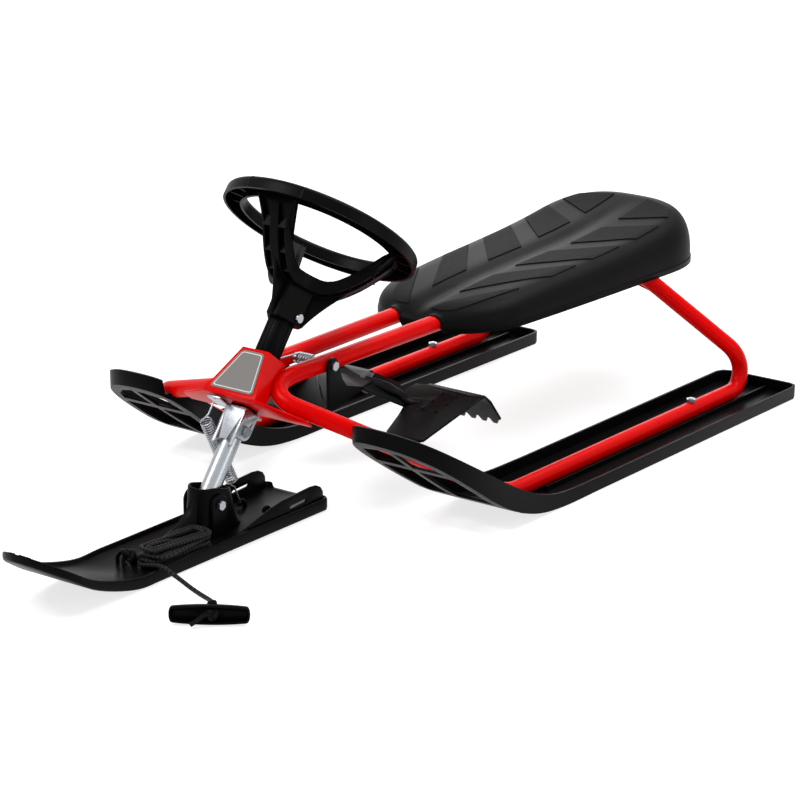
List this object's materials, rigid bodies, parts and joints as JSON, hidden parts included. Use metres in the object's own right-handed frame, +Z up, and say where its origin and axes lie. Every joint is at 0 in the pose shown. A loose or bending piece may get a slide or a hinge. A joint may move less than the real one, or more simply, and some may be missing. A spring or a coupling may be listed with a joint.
{
  "type": "steering sled",
  "caption": "Winter sled with a bent tube frame on flat runners, a sprung steered front ski under a steering wheel, a long moulded seat and a foot brake with claws",
  "frame": {"origin": "middle of the sled's length and width, on the ground under the runners", "axes": "+Z up, -Y forward towards the front ski, +X to the rider's left"},
  "size_m": [0.503, 1.1465, 0.3822],
  "materials": {
    "red_paint": "glossy red powder coat",
    "black_plastic": "moulded black plastic with a soft sheen",
    "seat_plastic": "moulded black plastic, lightly grained",
    "zinc_steel": "bright zinc plating",
    "black_paint": "satin black powder coat",
    "label_grey": "satin printed film",
    "black_rope": "braided cord"
  },
  "bodies": {
    "frame": {"left_frame_tube": "red_paint", "right_frame_tube": "red_paint", "rear_hoop": "red_paint", "left_runner": "black_plastic", "right_runner": "black_plastic", "runner_bolts": "zinc_steel", "runner_nuts": "zinc_steel", "seat_shell": "seat_plastic", "seat_screws": "zinc_steel", "head_cover": "red_paint", "head_bottom_plate": "red_paint", "head_label": "label_grey", "upper_bush": "black_plastic", "lower_bush": "black_plastic", "brake_bolt": "zinc_steel", "brake_nut": "zinc_steel", "brake_spacers": "zinc_steel", "brake_spring": "zinc_steel"},
    "steering": {"column_shaft": "zinc_steel", "column_neck": "black_plastic", "steering_wheel": "black_plastic", "wheel_cap": "black_plastic", "wheel_screw": "zinc_steel", "clevis": "zinc_steel", "clevis_bolt": "zinc_steel", "clevis_nut": "zinc_steel", "strut_tube": "zinc_steel", "suspension_spring": "zinc_steel"},
    "front_ski": {"front_ski": "black_plastic", "ski_tower": "black_plastic", "pivot_bolt": "zinc_steel", "pivot_nut": "zinc_steel", "rope_lead": "black_rope", "rope_hank": "black_rope", "rope_tail": "black_rope", "tow_handle": "black_plastic"},
    "brake": {"brake_plate": "black_paint"}
  },
  "joints": [
    {"name": "steer", "type": "hinge", "parent": "frame", "child": "steering", "pos_m": [0, -0.074, 0.3086], "axis": [0, 0.6157, 0.788], "range_deg": [-35, 35]},
    {"name": "ski_pitch", "type": "hinge", "parent": "steering", "child": "front_ski", "pos_m": [0, -0.28034, 0.0445], "axis": [-1, 0, 0], "range_deg": [0, 14], "stiffness_Nm_per_rad": 6, "deforming": ["suspension_spring"]},
    {"name": "brake_swing", "type": "hinge", "parent": "frame", "child": "brake", "pos_m": [0, -0.103, 0.163], "axis": [-1, 0, 0], "range_deg": [0, 20], "stiffness_Nm_per_rad": 4, "deforming": ["brake_spring"]}
  ]
}
